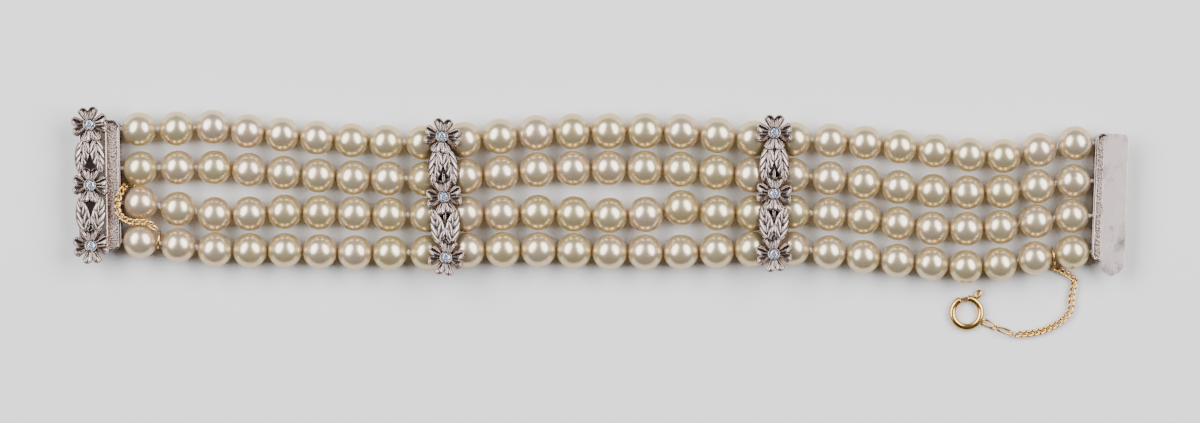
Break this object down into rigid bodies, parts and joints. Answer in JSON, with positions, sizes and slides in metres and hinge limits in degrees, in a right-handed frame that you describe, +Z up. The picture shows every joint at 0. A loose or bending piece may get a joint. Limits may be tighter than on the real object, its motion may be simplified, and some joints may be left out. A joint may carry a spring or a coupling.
{
  "type": "pearl bracelet",
  "caption": "Multi-strand pearl bracelet lying open, with floral spacer bars, an ornamented box clasp and a gold safety chain with spring ring.",
  "frame": {"origin": "centre of the bracelet's footprint, on the surface that it lies on", "axes": "+X along the band from the clasp box to the tongue, +Y across the band away from the hanging safety chain, +Z up"},
  "size_m": [0.1818, 0.0398, 0.0078],
  "materials": {
    "pearl_nacre": "cream nacre with a soft pink and silver orient",
    "white_gold": "worn white gold, part satin and part stippled",
    "yellow_gold": "polished yellow gold",
    "diamond": "round brilliant cut, clear"
  },
  "bodies": {
    "bracelet": {"pearl_strand_1": "pearl_nacre", "pearl_strand_2": "pearl_nacre", "pearl_strand_3": "pearl_nacre", "pearl_strand_4": "pearl_nacre", "diamond_bar_1_top": "diamond", "diamond_bar_1_middle": "diamond", "diamond_bar_1_bottom": "diamond", "diamond_bar_2_top": "diamond", "diamond_bar_2_middle": "diamond", "diamond_bar_2_bottom": "diamond", "diamond_clasp_top": "diamond", "diamond_clasp_middle": "diamond", "diamond_clasp_bottom": "diamond", "spacer_bar_1": "white_gold", "spacer_bar_2": "white_gold", "clasp_box": "white_gold", "clasp_tongue": "white_gold", "safety_chain_tongue_side": "yellow_gold", "safety_chain_box_side": "yellow_gold", "jump_ring_tongue_side": "yellow_gold", "jump_ring_box_side": "yellow_gold", "chain_end_ring": "yellow_gold", "spring_ring": "yellow_gold", "chain_end_link": "yellow_gold"},
    "spring_ring_bolt": {"spring_ring_bolt": "yellow_gold"}
  },
  "joints": [
    {"name": "spring_ring_opening", "type": "hinge", "parent": "bracelet", "child": "spring_ring_bolt", "pos_m": [0.06319, -0.01561, 0.00061], "axis": [0, 0, -1], "range_deg": [0, 38], "stiffness_Nm_per_rad": 0.004, "springref_deg": -17.19}
  ]
}
